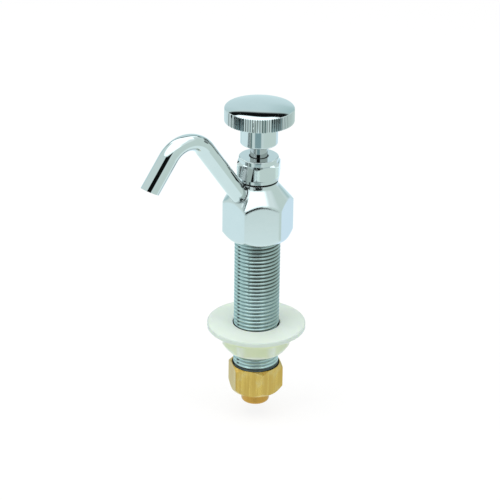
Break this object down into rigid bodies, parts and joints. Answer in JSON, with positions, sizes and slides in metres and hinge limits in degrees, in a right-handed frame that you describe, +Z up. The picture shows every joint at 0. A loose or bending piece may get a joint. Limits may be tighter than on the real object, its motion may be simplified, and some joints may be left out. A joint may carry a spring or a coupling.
{
  "type": "dipper well faucet",
  "caption": "Deck-mounted dipper well faucet: bent spout, serrated knob, hexagonal valve body, threaded shank with plastic deck nut and brass inlet coupling.",
  "frame": {"origin": "on the axis of the shank and stem, in the plane of the deck under the hexagon of the valve body", "axes": "+Z up along the shank and stem, -Y towards the spout's outlet, +X to the right of someone behind the tap looking along the spout's mirror plane"},
  "size_m": [0.046, 0.0879, 0.1504],
  "materials": {
    "polished_chrome": "bright polished chrome plate",
    "satin_zinc": "dull plated, machined thread",
    "raw_brass": "dull tumbled brass with fine streaks",
    "machined_brass": "clean turned brass",
    "white_plastic": "slightly translucent white moulding",
    "black_rubber": "matte black rubber",
    "dark_fibre": "pressed vulcanised fibre",
    "nylon": "natural nylon",
    "black_steel": "black oxide"
  },
  "bodies": {
    "housing": {"valve_body": "polished_chrome", "threaded_shank": "satin_zinc", "seat_insert": "machined_brass", "seat_o_ring": "black_rubber", "spout_tube": "polished_chrome", "bonnet_gasket": "dark_fibre", "bonnet_nut": "polished_chrome", "stem_wiper": "black_rubber", "thrust_washer": "nylon"},
    "disc": {"washer_holder": "machined_brass", "seat_washer": "black_rubber", "seat_screw": "machined_brass"},
    "spindle": {"stem": "polished_chrome", "stem_o_ring": "black_rubber", "knob": "polished_chrome", "knob_set_screw": "black_steel"},
    "deck_clamp": {"deck_nut": "white_plastic"},
    "tail": {"tailpiece": "raw_brass", "coupling_washer": "dark_fibre"},
    "union": {"coupling_nut": "raw_brass"}
  },
  "joints": [
    {"name": "stem_rise", "type": "slide", "parent": "housing", "child": "disc", "axis": [0, 0, 1], "range_m": [0, 0.00254]},
    {"name": "knob_turn", "type": "hinge", "parent": "disc", "child": "spindle", "pos_m": [0, 0, 0.05], "axis": [0, 0, 1], "range_deg": [0, 720]},
    {"name": "deck_nut_travel", "type": "slide", "parent": "housing", "child": "deck_clamp", "axis": [0, 0, 1], "range_m": [-0.0074, 0.0431]},
    {"name": "coupling_drop", "type": "slide", "parent": "housing", "child": "tail", "axis": [0, 0, -1], "range_m": [0, 0.00726]},
    {"name": "coupling_nut_turn", "type": "hinge", "parent": "tail", "child": "union", "pos_m": [0, 0, -0.072], "axis": [0, 0, -1], "range_deg": [0, 1440]}
  ],
  "couplings": [
    {"joint": "knob_turn", "follows": "stem_rise", "rad_per_m": 4947.4},
    {"joint": "coupling_nut_turn", "follows": "coupling_drop", "rad_per_m": 3463.2}
  ]
}
